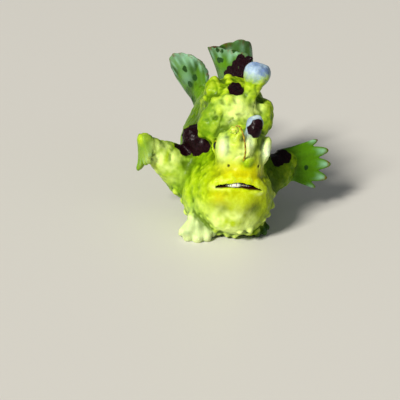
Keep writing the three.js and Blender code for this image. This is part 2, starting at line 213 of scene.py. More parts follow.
CROWN = [
    ((0.6, -1.5, 32.6), (9.8, 12.4, 10.3), 0, (-6, 0)),
    ((7.5, -8.5, 32.5), (3.6, 4.6, 6.6), 2.5, (-20, 18)),  # left lobe
    ((-5.7, -8.5, 32.5), (3.4, 4.6, 6.6), 2.5, (-20, 8)),  # right lobe
    ((-0.8, -9.6, 34.6), (6.4, 5.0, 7.0), 2.5, (-8, 0)),  # forehead
    ((-5.9, -3.2, 39.4), (3.0, 4.0, 3.6), 2),  # lump at the top right
]
RIGHT_TEMPLE = [((-7.0, -9.8, 31.4), (3.9, 3.8, 4.8), 1.6, (0, 14))]
OVER_EYES = [((5.6, -16.6, 27.0), (2.0, 3.8, 3.8), 1.2)]  # alike on both sides of the leaning face
EYE_RIDGES = [((-4.7, -19.4, 27.0), (1.3, 2.0, 3.4), 1.3), ((7.9, -19.2, 26.8), (1.6, 2.3, 4.4), 0.8, (0, 8))]


def swollen(p, swellings, d=None):
    """A shape with swellings added one after another."""
    for at, half, soft, *tilt in swellings:
        lump = swelling(p, at, half, *tilt)
        d = lump if d is None else soft_min(d, lump, soft)
    return d


def trunk_and_head(p, rest):
    """The body without limbs, fins and spines."""
    d = swollen(p, HEAD, swollen(paired(rest), TRUNK))
    d = soft_min(d, swollen(p, CROWN), 3)
    d = swollen(p, RIGHT_TEMPLE, d)
    d = swollen(paired(p, FACE_LEAN), OVER_EYES, d)
    return swollen(p, EYE_RIDGES, d)


def eye_sockets(p, d):
    """A lid rises round each eye and leaves it open to the side."""
    q = paired(p, FACE_LEAN) - np.array(EYE_AT, np.float32)
    axis = np.array(EYE_AXIS, np.float32) / np.linalg.norm(EYE_AXIS)
    away = np.sqrt((q ** 2).sum(-1))
    along = q @ axis
    across = q - along[..., None] * axis
    ring = np.sqrt(across[..., 0] ** 2 + across[..., 1] ** 2 + (0.88 * across[..., 2]) ** 2)
    d = soft_min(d, away - EYE_RADIUS - 0.5, 0.8)
    opening = soft_max(ring - 1.72, -along, 0.2)
    return soft_max(d, -np.minimum(away - EYE_RADIUS - 0.03, opening), 0.25)


LIP_TILT = -0.035  # the mouth sinks a little towards the fish's left
LIP = [(0, 1.15), (2.4, 1.1), (4.6, 0.95), (6.2, 0.65), (7.4, 0.3)]  # how thick, at x from the middle


def lip_line(x):
    """Height of the closed mouth's frown, and how far back its face is, at x from the middle."""
    return 18.75 - 0.031 * x ** 2, -26.2 + 0.03 * x ** 2


def lip(side):
    """Stations along the upper lip for side 1 and the lower for -1."""
    stations = []
    for x, radius in LIP:
        height, front = lip_line(x)
        stations.append((x, front + 1.0, height + side * (radius + 0.05), radius))
    return stations


def beside_mouth(p):
    """The point on the fish's left, in a frame that follows the tilted mouth."""
    m = paired(p)
    m[..., 2] -= LIP_TILT * p[..., 0]
    return m


def lips(p, d):
    """A shape with lips added."""
    m = beside_mouth(p)
    d = soft_min(d, limb(m, lip(1)), 2.4)
    return soft_min(d, limb(m, lip(-1)), 2)


def mouth_space(p):
    """The narrow gap between the lips along a frowning arc, and the hollow behind it."""
    m = beside_mouth(p)
    x, y, z = m[..., 0], m[..., 1], m[..., 2]
    height, front = lip_line(x)
    opening = 0.68 * np.clip(1 - ((p[..., 0] - 0.1) / 6.8) ** 2, 0, 1) ** 0.4
    gap = soft_max(np.abs(z - height - 0.3 * (y - front)) * 0.93 - opening, y + 21.0, 0.3)
    gap = np.maximum(gap, x - 6.9)
    hollow = swelling(m, (0, -21.6, 17.6), (5.4, 3.0, 1.7), (-6, 0))
    return soft_min(gap, hollow, 0.6)


def spines(p):
    """The second spine, and the third with its knob."""
    second = limb(p, [(2.6, -21.8, 25.5, 1.9), (2.6, -22, 30, 1.75), (3.8, -21, 35.8, 2.4)])
    third = limb(p, [(3.0, -8.0, 35, 2.6), (3.7, -9.8, 40.5, 2.0), (4.8, -10, 45, 2.8)], 1.5)
    knob = swelling(p, (5.1, -9.5, 47.2), (3.95, 3.8, 3.2), (0, 12))
    return soft_min(second, soft_min(third, knob, 1.2), 0.5)


def arms(p):
    """The raised right arm and the short left one."""
    raised = [(-12, -1, 13, 8), (-18.5, -3, 17.4, 4.9), (-23.4, -5.5, 21.8, 2.6), (-26.1, -6.6, 24.6, 1.9)]
    right = limb(p, raised, 2)
    left = limb(p, [(12, -1, 11.4, 7), (16, 0, 13.4, 5), (18.6, 1.2, 16, 3.6)], 2)
    return np.minimum(right, left)


def pelvic_stalks(p):
    """What carries the two feet."""
    right = limb(p, [(-7.6, -11.5, 6.6, 3.4), (-10.6, -16.8, 4.0, 1.9)])
    left = limb(p, [(6, -11, 5, 3), (7.5, -15, 3.6, 2.2)])
    return np.minimum(right, left)


def all_fins(p, rest):
    """Distance to the nearest fin, how far out and how near a ray a point lies there, and which fin it is."""
    found = [fin(rest if settings.get("bent") else p, **settings) for settings in FINS.values()]
    which = np.argmin([distance for distance, _, _ in found], axis=0)
    nearest, out, on_ray = [np.choose(which, values) for values in zip(*found)]
    return nearest, out, on_ray, which


def fish(p):
    """The whole skin as one field, in mm."""
    rest = straightened(p)
    d = trunk_and_head(p, rest)
    d = soft_max(lips(p, d), -mouth_space(p), 0.3)
    d = soft_min(d, spines(p), 1.2)
    d = soft_min(d, arms(p), 2.5)
    d = soft_min(d, pelvic_stalks(p), 1.5)
    d = soft_min(d, all_fins(p, rest)[0], 1.8)
    d = eye_sockets(p, d)
    return soft_max(d, -p[..., 2], 0.2)


# Noise that is the same on each run

CORNERS = list(itertools.product((0, 1), repeat=3))  # of a grid cell


def lattice(cell, seed):
    """A number from 0 to 1 for each whole-numbered grid corner."""
    c = cell.astype(np.int64)
    h = (c[..., 0] * 73856093) ^ (c[..., 1] * 19349663) ^ (c[..., 2] * 83492791) ^ (seed * 2654435761)
    h = (h ^ (h >> 13)) * 1274126177 & 0xFFFFFFFF
    h = (h ^ (h >> 16)) * 2246822519 & 0xFFFFFFFF
    return ((h ^ (h >> 15)) & 0xFFFFFF) / float(0xFFFFFF)


def noise(p, size, seed=0):
    """Smooth noise from -1 to 1, with lumps about size mm wide."""
    q = p / size
    base = np.floor(q)
    f = q - base
    f = f * f * (3 - 2 * f)
    total = 0
    for corner in CORNERS:
        weight = np.prod(np.where(corner, f, 1 - f), axis=-1)
        total = total + weight * lattice(base + corner, seed)
    return 2 * total - 1


def warts(p, spacing, share, seed):
    """Height, from 0 to 1, of round warts scattered in space."""
    q = p / spacing
    base = np.floor(q)
    height = np.zeros(p.shape[:-1])
    for corner in itertools.product((-1, 0, 1), repeat=3):
        cell = base + corner
        spot = cell + 0.5 + 0.6 * (np.stack([lattice(cell, seed + k) for k in range(3)], -1) - 0.5)
        size = 0.22 + 0.26 * lattice(cell, seed + 3)
        there = lattice(cell, seed + 4) < share
        away = ((q - spot) ** 2).sum(-1) / size ** 2
        bump = np.where(there, np.clip(1 - away, 0, 1) ** 1.5 * size / 0.48, 0)
        height = np.maximum(height, bump)
    return height


# Finding the surface of a field

def sampled(field, low, blocks, cell, block):
    """A field on a grid: true in blocks near its surface, and one rough value a block elsewhere."""
    centre = (np.stack(np.meshgrid(*[np.arange(n) for n in blocks], indexing="ij"), -1) + 0.5) * block - 0.5
    rough = field((low + centre * cell).reshape(-1, 3).astype(np.float32)).reshape(blocks)
    values = rough.astype(np.float32)
    for axis in range(3):
        values = np.repeat(values, block, axis=axis)
    # Half of a block's diagonal is 0.87 of its side, and distances may be off by 0.7 mm
    close = np.argwhere(np.abs(rough) < cell * block * 0.87 + 0.7)
    inner = np.stack(np.meshgrid(*[np.arange(block)] * 3, indexing="ij"), -1).reshape(-1, 3)
    fine = (close[:, None, :] * block + inner).reshape(-1, 3)
    for part in np.array_split(fine, max(1, len(fine) // CHUNK)):
        values[tuple(part.T)] = field((low + part * cell).astype(np.float32))
    return values


def crossed_cells(values):
    """The cells that the surface passes through, and in each the mean place where it cuts their edges."""
    inside = values < 0
    size = np.array(inside.shape) - 1
    views = [inside[i:i + size[0], j:j + size[1], k:k + size[2]] for i, j, k in CORNERS]
    cells = np.argwhere(np.any(views, axis=0) & ~np.all(views, axis=0))
    at_corner = [values[cells[:, 0] + i, cells[:, 1] + j, cells[:, 2] + k] for i, j, k in CORNERS]
    total = np.zeros((len(cells), 3))
    count = np.zeros(len(cells))
    for a, b in itertools.combinations(range(8), 2):
        step = np.subtract(CORNERS[b], CORNERS[a])
        if np.abs(step).sum() != 1:
            continue
        va, vb = at_corner[a], at_corner[b]
        cut = (va < 0) != (vb < 0)
        share = np.where(cut, va / np.where(cut, va - vb, 1), 0)
        total += np.where(cut[:, None], np.array(CORNERS[a]) + share[:, None] * step, 0)
        count += cut
    return cells, cells + total / count[:, None]


def parting_faces(inside, number):
    """A four-sided face across each grid edge that leaves the shape, between its four cells' corners."""
    quads = []
    for axis in range(3):
        one, two = (axis + 1) % 3, (axis + 2) % 3
        low_end = np.moveaxis(inside, axis, 0)
        edge = np.argwhere(np.moveaxis(low_end[:-1] != low_end[1:], 0, axis))
        edge = edge[(edge[:, one] > 0) & (edge[:, two] > 0)]
        ring = []
        for i, j in ((0, 0), (1, 0), (1, 1), (0, 1)):
            cell = edge.copy()
            cell[:, one] -= i
            cell[:, two] -= j
            ring.append(number[tuple(cell.T)])
        ring = np.stack(ring, -1)
        starts_inside = inside[tuple(edge.T)]
        quads.append(np.where(starts_inside[:, None], ring, ring[:, ::-1]))
    return np.concatenate(quads)


def net(field, low, high, cell, block=4):
    """Corners and four-sided faces of the closed surface where a field is zero."""
    blocks = np.ceil((high - low) / (cell * block)).astype(int)
    values = sampled(field, low, blocks, cell, block)
    cells, places = crossed_cells(values)
    number = np.full(values.shape, -1, np.int64)
    number[tuple(cells.T)] = np.arange(len(cells))
    return low + places * cell, parting_faces(values < 0, number)


def edges_of(quads):
    """The sides of all faces, as pairs of corners."""
    return np.concatenate([quads[:, [k, (k + 1) % 4]] for k in range(4)])


def neighbours(points, edges):
    """The sum of the corners round each corner, and how many there are."""
    count = len(points)
    total = [np.bincount(edges[:, 0], points[edges[:, 1], axis], count)
             + np.bincount(edges[:, 1], points[edges[:, 0], axis], count) for axis in range(3)]
    return np.stack(total, -1), np.bincount(edges.ravel(), minlength=count)[:, None]


def corner_normals(points, quads):
    spans = np.cross(points[quads[:, 2]] - points[quads[:, 0]], points[quads[:, 3]] - points[quads[:, 1]])
    normals = np.zeros_like(points)
    for k in range(4):
        for axis in range(3):
            normals[:, axis] += np.bincount(quads[:, k], spans[:, axis], len(points))
    return normals / (np.linalg.norm(normals, axis=1, keepdims=True) + 1e-12)


def evened(points, quads, field, rounds):
    """Spreads the corners evenly and lays them back on the surface."""
    edges = edges_of(quads)
    for _ in range(rounds):
        total, number = neighbours(points, edges)
        points = laid_on(0.4 * points + 0.6 * total / number, field)
    return points


def hollowness(points, quads, rounds):
    """How far in mm the skin lies below its own surroundings: above zero in creases, below on ridges."""
    edges = edges_of(quads)
    around = points
    for _ in range(rounds):
        total, number = neighbours(around, edges)
        around = total / number
    return ((around - points) * corner_normals(points, quads)).sum(-1)


def laid_on(points, field, sunk=0.0, most=0.3, step=0.05):
    """Points moved along the slope of a field, at most so far, until they lie that deep in its surface."""
    here = field(points.astype(np.float32))
    ahead = [field((points + step * np.eye(3)[k]).astype(np.float32)) for k in range(3)]
    slope = (np.stack(ahead, -1) - here[:, None]) / step
    distance = np.clip(here + sunk, -most, most)
    return points - distance[:, None] * slope / ((slope ** 2).sum(-1) + 1e-3)[:, None]


# The skin

def settled(spots, field):
    """Round lumps moved so that small ones stand half out of the surface and large ones less."""
    spots = np.array(spots, float)
    sunk = np.where(spots[:, 3] > 1.05, 0.35, 0.1) * spots[:, 3]
    for _ in range(4):
        spots[:, :3] = laid_on(spots[:, :3], field, sunk, np.inf)
    return spots


# Single papillae and lumps, at x, y, z with a radius
LUMPS = settled([
    (-6.4, -3.2, 42.8, 1.5), (-1.9, -1.0, 43.8, 1.9), (-1.9, -4.0, 42.5, 1.2), (-6.8, -5.0, 39.7, 1.1),
    (-2.6, -11.0, 38.5, 1.6), (12.2, -4.5, 36.2, 2.2), (8.0, -9.0, 36.4, 1.9), (10.4, -8.6, 31.0, 1.2),
    (-9.6, -10.0, 27.8, 1.2), (-8.6, -5.0, 37.4, 1.1), (-7.0, -12.6, 28.2, 1.2), (4.0, -13.6, 34.6, 1.1),
    (2.3, -23.2, 25.0, 1.1), (-4.8, -12.0, 36.0, 1.1), (-6.4, -9.6, 38.2, 1.1),
    (12.0, -18.0, 13.0, 1.0), (11.9, -18.4, 9.6, 1.0), (11.2, -18.6, 6.4, 1.0), (10.0, -19.0, 3.9, 0.9),
    (7.8, -21.0, 2.3, 0.9), (4.0, -24.6, 5.3, 1.0), (4.9, -23.2, 2.6, 1.0), (0.7, -22.7, 1.3, 1.0),
    (-1.5, -22.4, 1.1, 0.9), (-3.8, -21.4, 1.2, 0.9), (8.2, -23.2, 7.4, 0.8), (1.6, -25.6, 4.2, 0.7),
    (-15.3, -6.0, 8.2, 0.9), (-12.2, -12.0, 4.3, 0.9), (-13.9, -9.0, 6.3, 0.8),
], fish)
# Nostrils, and the small gill pore behind each arm
PITS = settled([
    (5.5, -22.3, 23.2, 0.32), (-2.9, -22.6, 23.2, 0.32), (15.0, 5.0, 9.0, 0.6), (-15.0, 5.0, 9.0, 0.6),
], fish)


def skin_field(p):
    """The fish with its single lumps."""
    d = fish(p)
    for x, y, z, radius in LUMPS:
        d = soft_min(d, np.sqrt(((p - np.array((x, y, z), np.float32)) ** 2).sum(-1)) - radius, 0.9)
    return d


def depth_in(p, blobs):
    """How deep in mm a point lies inside the nearest of some round blobs of x, y, z and radius."""
    deepest = np.full(p.shape[:-1], -9.0)
    for x, y, z, radius in blobs:
        deepest = np.maximum(deepest, radius - np.sqrt(((p - np.array((x, y, z))) ** 2).sum(-1)))
    return deepest


def near(p, at, half):
    """1 at a place, a third at half its width from there on each axis, and about 0 at its full width."""
    return np.exp(-(((p - np.array(at)) / np.array(half)) ** 2).sum(-1))


def patched(p, name):
    """The soft patches of one colour, added up."""
    return sum(strength * near(p, at, half) for strength, at, half in PATCHES[name])


# Dark saddles: on the crown, over the shoulders, at the front of the back fin and on the second spine
MAROON = [
    (-0.4, -6.4, 42.3, 2.0), (-0.4, -8.2, 42.0, 2.4), (-0.4, -9.9, 41.7, 2.1),
    (2.0, 5.0, 40.0, 4.2), (3.6, 3.8, 43.6, 2.8), (5.0, 4.0, 47.0, 2.2), (1.5, 8.0, 43.5, 1.9),
    (3.0, 5.6, 45.6, 2.2), (0.3, 9.6, 42.0, 1.7), (2.7, 7.2, 46.4, 2.0), (1.5, 8.0, 44.4, 1.7),
    (-0.4, 10.6, 40.4, 1.7),
    (-14.6, -2.0, 25.0, 2.5), (-13.6, -4.0, 25.8, 2.9), (-12.0, -4.6, 26.8, 2.6), (-12.5, -5.0, 23.5, 3.1),
    (-14.6, -3.8, 22.4, 2.2), (-13.2, -5.0, 21.4, 2.3), (-10.4, -6.4, 22.4, 2.9), (-8.2, -7.6, 23.8, 2.5),
    (-9.6, -5.5, 26.0, 3.1), (-10.5, -3.0, 28.6, 2.8),
    (3.9, -23.0, 35.6, 2.2), (4.5, -23.2, 33.8, 1.9), (3.1, -23.2, 34.8, 1.9),
    (12.5, 1.5, 21.0, 3.0), (15.0, 0.8, 19.0, 3.0), (17.4, -0.5, 18.0, 2.8), (12.0, 2.0, 24.5, 2.6),
    (15.5, -2.0, 17.4, 2.4),
]
# Dark spots on the tail, the back fin and the left hand
FIN_SPOTS = [
    (-5.4, 42.5, 29.6, 1.1), (-6.5, 44.1, 26.7, 1.2), (-8.6, 45.4, 31.6, 1.1), (-5.4, 43.3, 22.0, 1.2),
    (-2.6, 14.4, 43.7, 1.0), (-1.6, 13.7, 44.2, 1.0), (-0.8, 13.2, 44.6, 0.8), (-3.0, 14.8, 47.0, 0.8),
    (-1.6, 13.4, 47.0, 0.8), (1.4, 10.4, 48.2, 0.8), (25.6, 0.8, 14.6, 0.8),
]
# Creases pressed into the skin from one place to another: width and depth
CREASES = [
    ((-10.2, -8.8, 30.0), (-6.4, -13.0, 34.2), 0.8, 0.9),
    ((-4.6, -15.0, 31.8), (1.2, -15.6, 33.0), 0.8, 0.6),
    ((-4.6, -15.6, 31.2), (-8.8, -14.4, 29.2), 0.6, 0.5),
    ((-16.6, -5.2, 22.4), (-18.0, -7.2, 20.9), 0.6, 0.2),
    ((-18.0, -7.2, 20.9), (-18.0, -8.5, 18.2), 0.6, 0.24),
    ((-18.0, -8.5, 18.2), (-17.0, -9.0, 16.4), 0.6, 0.2),
    ((-13.2, -7.4, 17.6), (-12.6, -12.5, 14.4), 1.3, 0.4),
    ((-12.6, -12.5, 14.4), (-11.6, -17.6, 10.2), 1.3, 0.4),
    ((-9.8, -10.6, 18.6), (-10.2, -19.0, 14.6), 1.3, 0.3),
    ((-4.2, -25.4, 21.0), (1.0, -25.8, 21.9), 0.9, 0.22),
    ((1.0, -25.8, 21.9), (5.6, -25.0, 21.0), 0.9, 0.22),
]
# Hollows pressed into the skin: place, width and depth
CHIN_DENTS = [((-4.2, -27.0, 11.2), 3.3, 1.3), ((2.9, -26.5, 10.2), 3.2, 1.5), ((5.6, -26.0, 12.0), 2.2, 0.8)]
DENTS = CHIN_DENTS + [((7.4, -8.0, 40.0), 2.2, 2.0)]
# Calmer skin: how much calmer, where, and half its width. Snout, chin, raised arm, and the chin's dents
CALM = [
    (0.75, (1.3, -22, 21), (9, 6, 6)), (0.7, (1.3, -25, 11), (9, 6, 7)), (0.75, (-14, -11, 14), (7, 9, 8)),
]
CALM += [(0.85, at, (0.9 * size, 4.0, 0.9 * size)) for at, size, _ in CHIN_DENTS]
# The bluish white knob with its far side, and the rim of the second spine
WHITE = [
    (5.1, -9.5, 48.9, 4.3), (8.4, -9.0, 46.2, 2.6), (8.6, -10.0, 44.6, 2.2), (3.0, -20.8, 37.4, 3.3),
    (1.7, -22.2, 34.4, 1.9),
]
NOSE = (2.2, -24.6, 24.8)  # the small bump from which the filament rises
# How red the ray tips of each fin are
TIP_RED = {"caudal_fin": 0.8, "dorsal_fin": 0.7, "anal_fin": 0.1, "pectoral_fin_right": 0.3,
           "pectoral_fin_left": 1.0, "pelvic_fin_right": 0.2, "pelvic_fin_left": 0.2}

# Soft patches of colour: how strong, where, and half their width on each axis
PATCHES = {
    "yellow": [  # snout, jaw, the left of the chin, between the eye ridges
        (1.0, (1.3, -23.5, 21.5), (9, 6, 4.5)), (0.5, (1.3, -27, 13), (11, 6, 6)),
        (0.5, (-5.8, -26, 14.3), (2.5, 3, 2.5)), (0.4, (-0.6, -21.8, 30), (2.4, 3, 3)),
    ],
    "pale": [  # between and on the eye ridges, by the mouth's corners, on brow and flank: partly paler skin, partly painted highlight
        (0.4, (-1.5, -24, 26.6), (3.6, 3, 2.2)), (0.85, (-5.0, -21, 28), (1.9, 4, 3.6)),
        (1.0, (8.0, -21, 27), (2.2, 4, 4)), (0.8, (2.4, -24, 29.5), (1.6, 2.4, 4)),
        (0.35, (0.5, -23, 28), (2.2, 3, 3)), (0.6, (-6.6, -25.6, 17.4), (1.6, 2, 0.5)),
        (0.7, (6.2, -25.9, 16.2), (1, 2, 0.5)), (0.8, (5.6, -11.6, 37.4), (2.4, 3, 1.6)),
        (0.3, (-10, -22, 10.5), (1.5, 4, 1.3)),
    ],
    "blotched": [  # the same, broken up: chin, raised arm and forehead: partly paler skin, partly painted highlight
        (1.9, (-1.6, -26.6, 6.8), (5.6, 5, 4.0)), (1.2, (-20, -8, 18.5), (4.4, 5, 6.5)),
        (0.95, (-0.5, -13, 36.4), (5.2, 4, 4.6)), (0.6, (-21.4, -8, 21), (2.4, 3, 3)),
    ],
    "whitish_and_highlight": [  # painted highlight: bluish white fronts of the eye ridges and of the second spine, with some of the spine's own white
        (0.5, (-4.8, -22, 28.6), (1.4, 4, 2.9)), (0.8, (8.2, -21.5, 27.4), (1.3, 4, 2.8)),
        (0.5, (1.6, -23.6, 32.2), (1.0, 2, 2.6)), (0.4, (2.8, -24.5, 30), (1, 2, 2)),
        (0.4, (1.8, -22.8, 35.6), (1.2, 2, 2)), (0.7, (3.6, -21.6, 38.4), (2.4, 2.4, 1.2)),
    ],
    "shade": [  # painted shade: the far side of the jaw, the left flank and nape, above the lure and on the crown
        (0.4, (11, -18, 8), (3.5, 6, 7)), (1.0, (14, -8, 12), (5, 7, 8)), (0.9, (-12, 5, 30), (5, 11, 8)),
        (0.35, (6.5, -24.5, 9), (2.5, 4, 4)), (0.7, (-2.2, -15.4, 33.6), (3.6, 1.6, 0.9)),
        (0.35, (-7.4, -2, 41.5), (3, 4, 3)), (0.3, (10.5, -7, 35), (2.5, 4, 4)),
    ],
    "green": [  # greener lobes of the brow and crown; at the top right of the crown partly painted shade
        (1.0, (-8.5, -11, 32), (5, 6, 6.5)), (0.6, (9, -8, 33), (4, 6, 6)),
        (0.9, (-7, -2.5, 41.5), (3, 4, 3)), (0.5, (-8, -8, 37), (2.5, 4, 4)),
        (0.4, (-2, -1, 44), (2.5, 2, 2)),
    ],
    "blue_and_sheen": [  # painted sheen, bluish white, on the top of the back fin, and painted light at its rear
        (0.6, (-1.0, 12.5, 47.6), (5, 5, 1.8)), (0.7, (2.0, 9.8, 47.6), (1.6, 2, 0.9)),
        (0.5, (6.5, 34, 44.5), (3, 5, 2)),
    ],
    "lit": [  # yellower green on the back fin and at the tip of the tail
        (0.9, (7, 34, 43.0), (4, 7, 3.0)), (1.0, (-0.5, 12.5, 43.4), (5, 6, 3.2)),
        (0.6, (-9, 46, 31), (3, 3, 3)),
    ],
}


def mesh_piece(name, points, faces, material, smooth_faces=True):
    """A piece from corners in mm and faces."""
    mesh = bpy.data.meshes.new(name)
    mesh.from_pydata((np.asarray(points) * MM).tolist(), [], [tuple(face) for face in faces])
    mesh.polygons.foreach_set("use_smooth", [smooth_faces] * len(mesh.polygons))
    mesh.materials.append(material)
    piece = bpy.data.objects.new(name, mesh)
    bpy.context.scene.collection.objects.link(piece)
    return piece


def give(piece, name, values):
    """A number for each corner, which the material reads by name."""
    layer = piece.data.attributes.new(name, "FLOAT", "POINT")
    layer.data.foreach_set("value", np.asarray(values, np.float32))


def ringed(rings):
    """Corners and faces of a closed tube through rings with equally many corners each."""
    count = len(rings[0])
    points = [corner for ring in rings for corner in ring]
    last = len(points) - count
    faces = []
    for start in range(0, last, count):
        for i in range(count):
            here, after = start + i, start + (i + 1) % count
            faces.append((here, after, after + count, here + count))
    return points, faces + [tuple(range(count))[::-1], tuple(range(last, last + count))]


def rough_height(points, rest, on_fin, in_maroon, pits):
    """How far in mm the skin stands out of its smooth shape. Each noise ends with its seed."""
    calm = 1.0
    for share, at, half in CALM:
        calm = calm * (1 - share * near(points, at, half))
    crowned = near(points, (0.6, -8, 36), (13, 11, 10))  # the crown is the most rugged
    warp = rest + 1.6 * np.stack([noise(rest, 4.0, k) for k in (61, 62, 63)], -1)
    broad = 0.3 * noise(warp, 3.4, 1) + 0.2 * noise(rest, 1.8, 2) + 0.1 * noise(rest, 0.9, 3)
    broad += crowned * (0.36 * noise(warp, 4.6, 41) + 0.34 * noise(rest, 2.2, 42))
    folds = np.exp(-(noise(warp * np.array((1, 1, 0.45)), 3.6, 7) / 0.16) ** 2)
    folds *= smooth(noise(rest, 7.0, 9), -0.2, 0.4)
    bumps = 0.36 * warts(rest, 2.8, 0.3, 11) + 0.14 * warts(rest, 1.5, 0.4, 21) - 0.16 * folds
    beads = 0.36 * warts(rest, 1.15, 0.9, 31)  # close together on the dark saddles
    dents = sum(-depth * near(points, at, (size, 3.0, size)) for at, size, depth in DENTS)
    creased = np.zeros(len(points))
    for start, end, width, depth in CREASES:
        away = limb(points, [(*start, 0), (*end, 0)])
        creased = np.maximum(creased, depth * np.exp(-(away / width) ** 2))
    height = (1 - 0.8 * on_fin) * calm * (broad + (1 - in_maroon) * bumps)
    height += in_maroon * beads + (dents - creased) - 0.5 * pits
    return height


def give_body_masks(piece, points, quads, rest, on_fin):
    """Where head and trunk are yellow, green or pale, where painted highlights and painted shade lie, and
    their lumps and creases.
    """
    relief = hollowness(points, quads, 6) / 0.09 + hollowness(points, quads, 40) / 0.45
    nose = near(points, NOSE, (1.7, 2, 1.5))
    yellow = np.clip(patched(points, "yellow") - 0.9 * nose, 0, 1)
    # greener flanks and back: partly their own colour, partly painted shade; the raised arm is kept out of
    # it, lighter, as painted light
    flank = smooth(points[:, 1], -16, -2) * (1 - smooth(points[:, 2], 30, 36))
    arm = near(points, (-20, -5, 16), (7, 6, 7))
    green = 0.8 * flank + 0.4 * smooth(points[:, 1], 2, 14) - arm + patched(points, "green") + 0.7 * nose
    green = np.clip(green, 0, 1)
    blotch = 0.8 + 0.8 * noise(rest, 2.4, 71) + 0.4 * noise(rest, 1.1, 72)
    papillae = LUMPS[LUMPS[:, 3] < 1.02]
    # paler skin and painted highlight; the papillae's pale tips are their own colour
    pale = patched(points, "pale") + patched(points, "blotched") * blotch
    pale += 0.4 * smooth(depth_in(points, papillae), -0.5, 0.2) - 0.9 * nose
    # painted shade in the chin's dents, added to the painted shade patches
    hollow = sum(near(points, at, (size, 3.0, size)) for at, size, _ in CHIN_DENTS)
    shade = 0.55 * hollow + patched(points, "shade")
    give(piece, "yellow", yellow)
    give(piece, "green", green)
    # lump tops: partly their own yellower colour, partly painted highlight
    give(piece, "lump", np.clip(-0.6 * relief, 0, 1) * (1 - on_fin) * (1 - 0.7 * green))
    # painted shade in the creases
    give(piece, "crease_shade", np.clip(0.8 * relief, 0, 1) * (1 - 0.5 * on_fin) * (1 - 0.6 * yellow))
    give(piece, "pale", np.clip(pale, 0, 1))
    give(piece, "whitish_and_highlight", np.clip(patched(points, "whitish_and_highlight"), 0, 1))
    give(piece, "shade", np.clip(shade, 0, 1) * (1 - on_fin))


def give_fin_masks(piece, points, rest, on_fin, out, on_ray, which):
    """Where the fins have rays, coloured ray tips and spots, and the colours of hand, foot, tail and back,
    some of them painted sheen, painted light and painted shade.
    """
    def on(*names):
        """Where the nearest fin is one of these."""
        return np.isin(which, [list(FINS).index(name) for name in names])

    reddish = np.array([TIP_RED[name] for name in FINS])[which]
    before_tip = smooth(out, 0.66, 0.85) * (1 - smooth(out, 0.9, 0.97))
    give(piece, "tip", smooth(out, 0.86, 0.98) * on_fin * reddish * smooth(on_ray, 0.3, 0.9))
    give(piece, "fingertip", before_tip * on_fin * reddish * on_ray ** 2)
    give(piece, "rays", on_ray * on_fin)
    give(piece, "spots", np.clip(depth_in(points, FIN_SPOTS), -3, 3))
    tail, dorsal = on("caudal_fin"), on("dorsal_fin")
    # bluish white on tail and back fin: partly their own colour, partly painted sheen
    blue_and_sheen_share = patched(points, "blue_and_sheen")
    blue_and_sheen_share += 0.8 * tail * smooth(noise(rest, 5.0, 81), -0.3, 0.5)
    blue_and_sheen_share += 0.3 * tail * smooth(out, 0.8, 1.0) + 0.15 * dorsal * smooth(noise(rest, 5.0, 82), 0.1, 0.6)
    give(piece, "blue_and_sheen", np.clip(blue_and_sheen_share, 0, 1) * on_fin * (tail | dorsal | on("anal_fin")))
    stem = smooth(rest[:, 1], 33, 40)  # the tail's stem takes the colour of its fin
    bare = on("pectoral_fin_right")  # this hand keeps the colour of its arm
    give(piece, "fin", np.maximum(on_fin, 0.85 * stem) * (1 - 0.8 * bare))
    # the left palm, its green kept dark as painted shade, and the lit patches of painted light
    give(piece, "hand", np.clip(on("pectoral_fin_left") + patched(points, "lit"), 0, 1) * on_fin)
    foot = on("pelvic_fin_left", "pelvic_fin_right") * on_fin + near(points, (-9, -16, 4), (4, 4, 4))
    foot = (points[:, 0] < 0) * np.clip(foot, 0, 1)  # only the right foot is pale: partly its own colour, partly painted light, as the left foot lies in shade
    give(piece, "foot", foot * np.clip(0.95 + 0.5 * noise(rest, 2.2, 91), 0, 1))


def make_skin(material):
    """One closed skin over everything but the eyes, the filament, the lure and the teeth."""
    low, high = np.array((-33.0, -32, -1.5)), np.array((38.0, 62, 54))  # a box round the fish
    points, quads = net(skin_field, low, high, GRID)
    points = evened(points, quads, skin_field, 3)
    surface = points.astype(np.float32)
    rest = straightened(surface)
    fins, *of_fins = all_fins(surface, rest)
    body = trunk_and_head(surface, rest)
    on_fin = smooth(body - fins, 0.2, 2.0) * smooth(0.8 - fins, 0, 0.6)
    in_mouth = smooth(-lips(surface, body), 0.3, 0.8)
    maroon = depth_in(points, MAROON)
    pits = smooth(depth_in(points, PITS), -0.25, 0.15)
    height = rough_height(points, rest, on_fin, smooth(maroon, -0.2, 0.4), pits)
    floor_free = smooth(points[:, 2], 0.15, 1.2)  # the skin is flat where it lies on the floor
    points = points + corner_normals(points, quads) * (height * floor_free)[:, None]
    points[:, 2] = np.maximum(points[:, 2], 0)
    piece = mesh_piece("skin", points, quads, material)
    give(piece, "maroon", np.clip(maroon + (0.4 - 0.2 * on_fin) * noise(points, 2.6, 5) - 0.1, -3, 3))
    give(piece, "white", np.clip(depth_in(points, WHITE), -3, 3))
    # painted shade in the nostrils and gill pores
    give(piece, "pits", pits)
    # painted shade inside the mouth
    give(piece, "mouth", in_mouth * (points[:, 1] < -16) * (points[:, 2] < 23))
    give_body_masks(piece, points, quads, rest, on_fin)
    give_fin_masks(piece, points, rest, on_fin, *of_fins)
    return piece


# Materials

def colour(text):
    """An sRGB hex colour as the linear colour a material takes."""
    parts = [int(text[k:k + 2], 16) / 255 for k in (0, 2, 4)]
    return [c / 12.92 if c <= 0.04045 else ((c + 0.055) / 1.055) ** 2.4 for c in parts] + [1.0]


def new_material(name):
    material = bpy.data.materials.new(name)
    material.use_nodes = True
    material.node_tree.nodes.clear()
    return material


